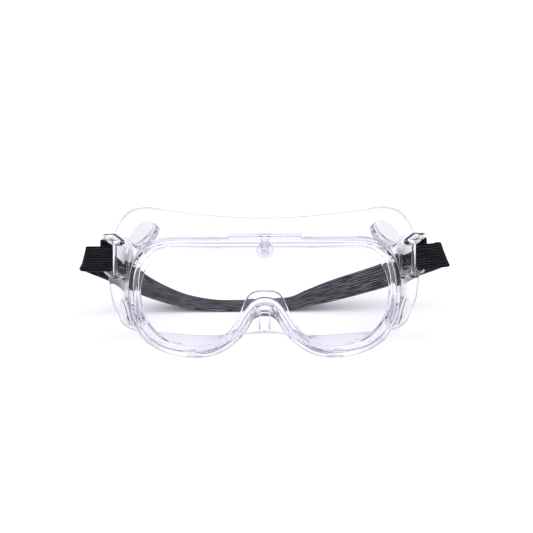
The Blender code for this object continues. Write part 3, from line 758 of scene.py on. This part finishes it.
# Half of the band behind the goggles, from the crease to the middle: shares of the crease's
# distance from the centre, of the way back and of the height, and how far it leans back.
BAND_LEFT = (
    (1.000, 0.00, 1.00, 0),
    (0.970, 0.065, 0.95, -12),
    (0.935, 0.19, 0.88, -14),
    (0.885, 0.40, 0.77, 0),
    (0.815, 0.63, 0.62, 20),
    (0.740, 0.80, 0.47, 40),
    (0.670, 0.90, 0.335, 58),
    (0.560, 0.98, 0.18, 74),
    (0.420, 1.00, 0.06, 85),
    (0.240, 1.00, 0.00, 90),
    (0.000, 1.00, 0.00, 90),
)
BAND_RIGHT = (
    (1.000, 0.00, 1.048, 0),
    (0.970, 0.065, 1.00, -12),
    (0.935, 0.19, 0.93, -14),
    (0.885, 0.40, 0.825, 0),
    (0.815, 0.63, 0.69, 18),
    (0.740, 0.80, 0.565, 34),
    (0.670, 0.90, 0.47, 44),
    (0.560, 0.97, 0.36, 51),
    (0.420, 1.00, 0.245, 58),
    (0.330, 1.00, 0.175, 66),
    (0.240, 1.00, 0.105, 77),
    (0.150, 1.00, 0.035, 86),
    (0.000, 1.00, 0.00, 90),
)


def end_plan():
    """The threaded end in plan, from its tail round the rear bar and the front one to the crease."""
    rear_x, rear_depth = REAR_BAR
    front_x = FRONT_BAR[0]
    front = STRAP_FRONT_DEPTH
    tail = front + STRAP_THICKNESS + GAP
    radius = BAR_RADIUS + GAP + STRAP_THICKNESS / 2 + 0.1 * MM
    points = [(rear_x + 6.6 * MM, tail), (rear_x + 4.2 * MM, tail), (rear_x + 2.6 * MM, tail + 0.8 * MM)]
    for degrees in range(-35, 191, 25):
        angle = math.radians(degrees)
        points.append((rear_x + radius * math.cos(angle), rear_depth + radius * math.sin(angle)))
    points += [
        (front_x + 3.2 * MM, front + 4.2 * MM),
        (front_x + 2.1 * MM, front + 1.7 * MM),
        (front_x + 3.2 * MM, front + 0.2 * MM),
        (front_x + 7.5 * MM, front),
        (CREASE_X - 4.5 * MM, front),
    ]
    return points


# How far the webbing's middle lies above STRAP_Z at each point of end_plan, in millimetres: the tail
# hangs, the loop round the rear bar has ridden up, and the front layer is level.
END_LIFTS = (-1.3, -1.2, -0.8, 0.8, 1.5, 1.8, 1.8, 1.8, 1.5, 1.2, 0.9, 0.6, 0.4, 0.2, 0.1, 0, 0, 0)


def end_rows(side):
    """(centre, direction across) rows of one end, from its tail to just before the fold."""
    rows = []
    plan = [(x, depth, lift * MM) for (x, depth), lift in zip(end_plan(), END_LIFTS)]
    for x, depth, lift in smooth_rows(plan, 4):
        z = STRAP_Z + lift + END_RISE[side] * max(x - FRONT_BAR[0], 0)
        rows.append((Vector((x, depth, z)), Vector((-END_RISE[side], 0, 1))))
    return rows


def fold_rows(side):
    """The fold at the crease, which leans outwards at its foot."""
    radius = (BAND_FROM - STRAP_FRONT_DEPTH) / 2
    middle = STRAP_FRONT_DEPTH + radius
    z = STRAP_Z + END_RISE[side] * (CREASE_X - FRONT_BAR[0])
    rows = []
    for step in range(9):
        angle = math.radians(-90 + step * 22.5)
        behind = (1 + math.sin(angle)) / 2
        lean = CREASE_LEAN * (1 + 0.4 * math.sin(angle)) + math.atan(END_RISE[side])
        level = Vector((-math.tan(lean), 0, 1))
        across = level.lerp(level.normalized(), behind)
        x = CREASE_X - 1.7 * MM + radius * math.cos(angle)
        depth = middle + radius * math.sin(angle)
        rows.append((Vector((x, depth, z - CREASE_DROP * behind)), across))
    return rows


def band_rows():
    """The band from behind the right fold round to behind the left one, lying on the table."""
    lowest = STRAP_THICKNESS / 2 + 0.1 * MM
    given = []
    for side, half in ((1, BAND_RIGHT[:-1]), (-1, BAND_LEFT[::-1])):
        for share, back, height, lean in half:
            depth = BAND_FROM + back * (STRAP_REAR_DEPTH - BAND_FROM)
            z = lowest + height * (STRAP_Z - lowest)
            given.append((side * share * CREASE_X, depth, z, math.radians(lean)))
    route = smooth_rows(given, 10)
    rows = []
    for k, (x, depth, z, lean) in enumerate(route):
        x0, depth0, z0, _ = route[max(k - 1, 0)]
        x1, depth1, z1, _ = route[min(k + 1, len(route) - 1)]
        along = Vector((x1 - x0, depth1 - depth0, z1 - z0)).normalized()
        up = Vector((0, math.sin(lean), math.cos(lean)))
        across = (up - along * up.dot(along)).normalized()
        z = max(z, lowest + abs(across.z) * STRAP_WIDTH / 2)
        rows.append((Vector((x, depth, z)), across))
    return rows[5:-5]


def whole_band():
    """(centre, across) rows from the right tail, round the back, to the left tail."""
    right = end_rows(1) + fold_rows(1)
    left = end_rows(-1) + fold_rows(-1)
    mirrored = [(Vector((-c.x, c.y, c.z)), Vector((-a.x, a.y, a.z))) for c, a in reversed(left)]
    return right + band_rows() + mirrored


def webbing_section():
    """(across, through) points round a flat section with full edges."""
    half, thick = STRAP_WIDTH / 2, STRAP_THICKNESS / 2
    face = [-1 + k / 12 for k in range(25)]
    flat, edge = half - 0.4 * MM, half - 0.1 * MM
    points = [(v * flat, thick) for v in face]
    points += [(edge, thick * 0.6), (half, 0), (edge, -thick * 0.6)]
    points += [(v * flat, -thick) for v in reversed(face)]
    points += [(-edge, -thick * 0.6), (-half, 0), (-edge, thick * 0.6)]
    return points


def band_mesh(rows, section):
    """The section carried along the rows, with a UV map in metres along and across the webbing."""
    lengths = [0.0]
    for (a, _), (b, _) in zip(rows, rows[1:]):
        lengths.append(lengths[-1] + (b - a).length)
    bm = bmesh.new()
    bmesh.ops.create_grid(bm, x_segments=len(rows) - 1, y_segments=len(section), size=1.0)
    spot = {}
    for vert in bm.verts:
        k = round((vert.co.x + 1) / 2 * (len(rows) - 1))
        j = round((vert.co.y + 1) / 2 * len(section))
        spot[vert] = (k, j)
    uv = bm.loops.layers.uv.new("weave")
    for face in bm.faces:
        for loop in face.loops:
            k, j = spot[loop.vert]
            loop[uv].uv = (lengths[k], section[j % len(section)][0])
    for vert, (k, j) in spot.items():
        centre, across = rows[k]
        before = rows[max(k - 1, 0)][0]
        after = rows[min(k + 1, len(rows) - 1)][0]
        through = (after - before).normalized().cross(across).normalized()
        v, w = section[j % len(section)]
        point = centre + across * v + through * w
        vert.co = place(point.x, point.y, max(point.z, 0.02 * MM))
    bmesh.ops.remove_doubles(bm, verts=bm.verts, dist=1e-7)
    ends = [edge for edge in bm.edges if edge.is_boundary]
    bmesh.ops.holes_fill(bm, edges=ends, sides=0)
    bmesh.ops.recalc_face_normals(bm, faces=bm.faces)
    mesh = bpy.data.meshes.new("headband")
    bm.to_mesh(mesh)
    bm.free()
    return mesh


def build_headband(webbing):
    band = bpy.data.objects.new("headband", band_mesh(whole_band(), webbing_section()))
    bpy.context.scene.collection.objects.link(band)
    finish_mesh(band, webbing, 60)
    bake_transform(band)
    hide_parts("strap_band", "strap_end_right", "strap_end_left")


# ---------------------------------------------------------------- table, light and camera


def build_table():
    bm = bmesh.new()
    bmesh.ops.create_grid(bm, x_segments=8, y_segments=8, size=6.0)
    bmesh.ops.translate(bm, vec=(0, 0, -0.15 * MM), verts=bm.verts)
    mesh = bpy.data.meshes.new("table")
    bm.to_mesh(mesh)
    bm.free()
    table = bpy.data.objects.new("table", mesh)
    bpy.context.scene.collection.objects.link(table)
    table.data.materials.append(white_table())


def add_light(name, kind, energy, location, target, **settings):
    data = bpy.data.lights.new(name, kind)
    data.energy = energy
    for key, value in settings.items():
        setattr(data, key, value)
    lamp = bpy.data.objects.new(name, data)
    bpy.context.scene.collection.objects.link(lamp)
    lamp.location = location
    lamp.rotation_euler = (Vector(target) - Vector(location)).to_track_quat("-Z", "Y").to_euler()
    return lamp


def build_light():
    world = bpy.data.worlds.new("studio")
    bpy.context.scene.world = world
    world.use_nodes = True
    shade = world.node_tree.nodes["Background"]
    shade.inputs["Color"].default_value = srgb("#E6E5EE")
    shade.inputs["Strength"].default_value = 0.82
    add_light("overhead", "SUN", 1.24, (0.1, -0.3, 2.0), (0, 0, 0), angle=math.radians(120))
    strip = {"shape": "RECTANGLE", "size": 0.35, "size_y": 1.4}
    add_light("strip_left", "AREA", 3.2, (-1.1, -0.2, 0.9), (0, 0, 0.04), **strip)
    add_light("strip_right", "AREA", 3.2, (1.1, 0.1, 0.9), (0, 0, 0.04), **strip)


def build_camera():
    """Slightly left of centre, 22 degrees above the table, through a long lens."""
    target = Vector((0.0013, 0.0, 0.0408))
    away, turn, rise = 1.756, math.radians(0.5), math.radians(22)
    line = Vector((-math.sin(turn) * math.cos(rise), -math.cos(turn) * math.cos(rise), math.sin(rise)))
    data = bpy.data.cameras.new("camera")
    data.lens = 200
    data.sensor_width = 36
    camera = bpy.data.objects.new("camera", data)
    bpy.context.scene.collection.objects.link(camera)
    camera.location = target + line * away
    camera.rotation_euler = (-line).to_track_quat("-Z", "Y").to_euler()
    bpy.context.scene.camera = camera


def set_look():
    scene = bpy.context.scene
    scene.view_settings.view_transform = "Standard"
    scene.view_settings.look = "None"
    scene.cycles.max_bounces = 32
    scene.cycles.transmission_bounces = 32
    scene.cycles.transparent_max_bounces = 32
    scene.cycles.glossy_bounces = 8


def main():
    # The refractive indices are matched. Soft PVC's real one is about 1.53, polycarbonate's 1.585.
    # The second colour of each clear plastic is the grey of its painted edge shade.
    pvc = clear_plastic(
        "soft_clear_pvc_moulded", srgb("#FCFBFE"), srgb("#9B9AA7"), 160.0, 0.05, 0.01, 1.45, bead_shade_share=1.0
    )
    polycarbonate = clear_plastic(
        "coated_clear_polycarbonate", srgb("#FDFCFF"), srgb("#C9C7D4"), 20.0, 0.01, 0.0, 1.22
    )
    stud_plastic = clear_plastic(
        "cloudy_moulded_stud", srgb("#EDEBF2"), srgb("#B4B1C0"), 300.0, 0.1, 0.12, 1.45
    )
    white = milky_polyethylene()
    vents = vent_frames()
    build_frame(vents, pvc)
    build_lens(polycarbonate)
    build_stud(stud_plastic)
    build_vents(vents, white)
    build_headband(elastic_webbing())
    build_table()
    build_light()
    build_camera()
    set_look()


main()
